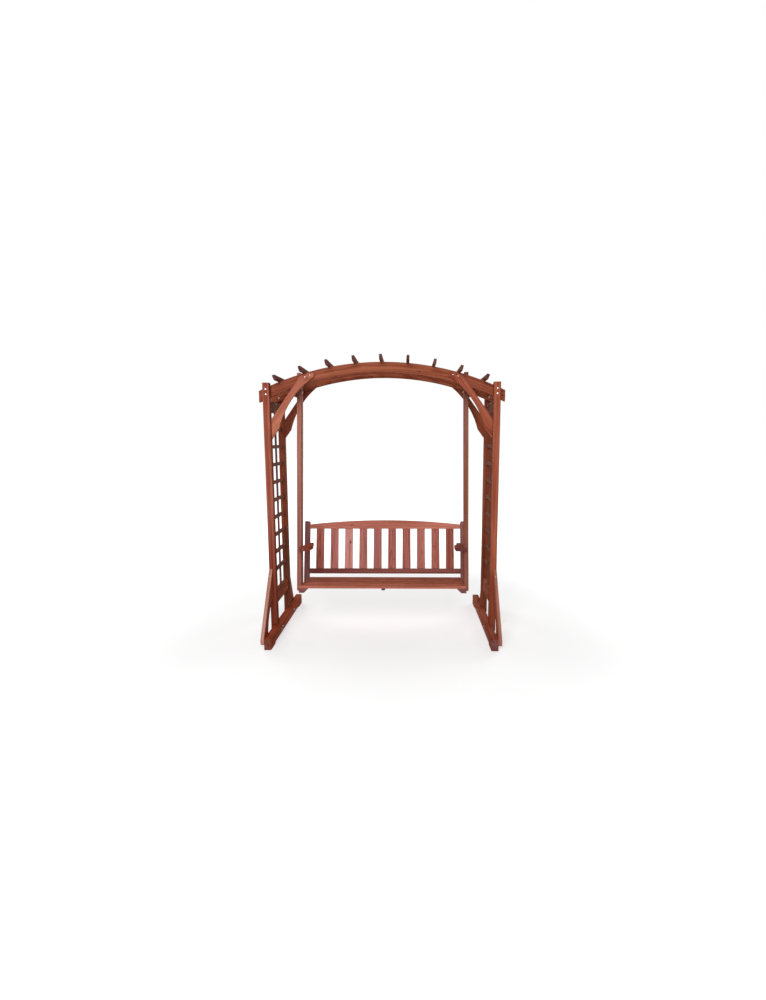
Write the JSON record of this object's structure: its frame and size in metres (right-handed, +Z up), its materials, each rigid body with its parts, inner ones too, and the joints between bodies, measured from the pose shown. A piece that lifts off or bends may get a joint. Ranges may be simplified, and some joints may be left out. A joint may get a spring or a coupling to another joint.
{
  "type": "arbor swing",
  "caption": "Slatted wooden garden bench hung on two wooden bars inside a freestanding arched arbor with trellis sides and roof slats.",
  "frame": {"origin": "on the ground, midway between the two feet and midway between their front and rear ends", "axes": "+X to the right seen from the front, along the bench and the swing's hinge; +Y to the rear; +Z up"},
  "size_m": [2.136, 1.21, 2.4753],
  "materials": {
    "frame_wood": "semi-transparent reddish-brown stain, satin",
    "swing_wood": "semi-transparent reddish-brown stain, satin",
    "slat_wood": "semi-transparent reddish-brown stain, satin",
    "bolt_steel": "bright zinc plate"
  },
  "bodies": {
    "arbor": {"foot_left": "frame_wood", "foot_right": "frame_wood", "post_front_left": "frame_wood", "post_front_right": "frame_wood", "post_rear_left": "frame_wood", "post_rear_right": "frame_wood", "foot_brace_front_left": "frame_wood", "foot_brace_front_right": "frame_wood", "foot_brace_rear_left": "frame_wood", "foot_brace_rear_right": "frame_wood", "lower_side_rail_left": "frame_wood", "lower_side_rail_right": "frame_wood", "trellis_left": "frame_wood", "trellis_right": "frame_wood", "arch_beam_front": "frame_wood", "arch_beam_rear": "frame_wood", "knee_brace_front_left": "frame_wood", "knee_brace_front_right": "frame_wood", "knee_brace_rear_left": "frame_wood", "knee_brace_rear_right": "frame_wood", "purlin_1": "frame_wood", "purlin_2": "frame_wood", "purlin_3": "frame_wood", "purlin_4": "frame_wood", "purlin_5": "frame_wood", "purlin_6": "frame_wood", "purlin_7": "frame_wood", "purlin_8": "frame_wood", "purlin_9": "frame_wood", "hanger_rail_left": "frame_wood", "hanger_rail_right": "frame_wood", "pivot_bolt_left": "bolt_steel", "pivot_bolt_right": "bolt_steel"},
    "swing": {"hanging_bar_left": "swing_wood", "hanging_bar_right": "swing_wood", "seat_slat_1": "slat_wood", "seat_slat_2": "slat_wood", "seat_slat_3": "slat_wood", "seat_slat_4": "slat_wood", "seat_slat_5": "slat_wood", "seat_side_rail_left": "swing_wood", "seat_side_rail_right": "swing_wood", "seat_centre_rail": "swing_wood", "arm_left": "swing_wood", "arm_right": "swing_wood", "back_post_left": "swing_wood", "back_post_right": "swing_wood", "back_rail_lower": "slat_wood", "back_rail_top": "swing_wood", "back_slat_1": "slat_wood", "back_slat_2": "slat_wood", "back_slat_3": "slat_wood", "back_slat_4": "slat_wood", "back_slat_5": "slat_wood", "back_slat_6": "slat_wood", "back_slat_7": "slat_wood", "back_slat_8": "slat_wood", "back_slat_9": "slat_wood", "back_slat_10": "slat_wood"}
  },
  "joints": [
    {"name": "swing_pivot", "type": "hinge", "parent": "arbor", "child": "swing", "pos_m": [0, 0, 2.19341], "axis": [1, 0, 0], "range_deg": [-22, 22]}
  ]
}
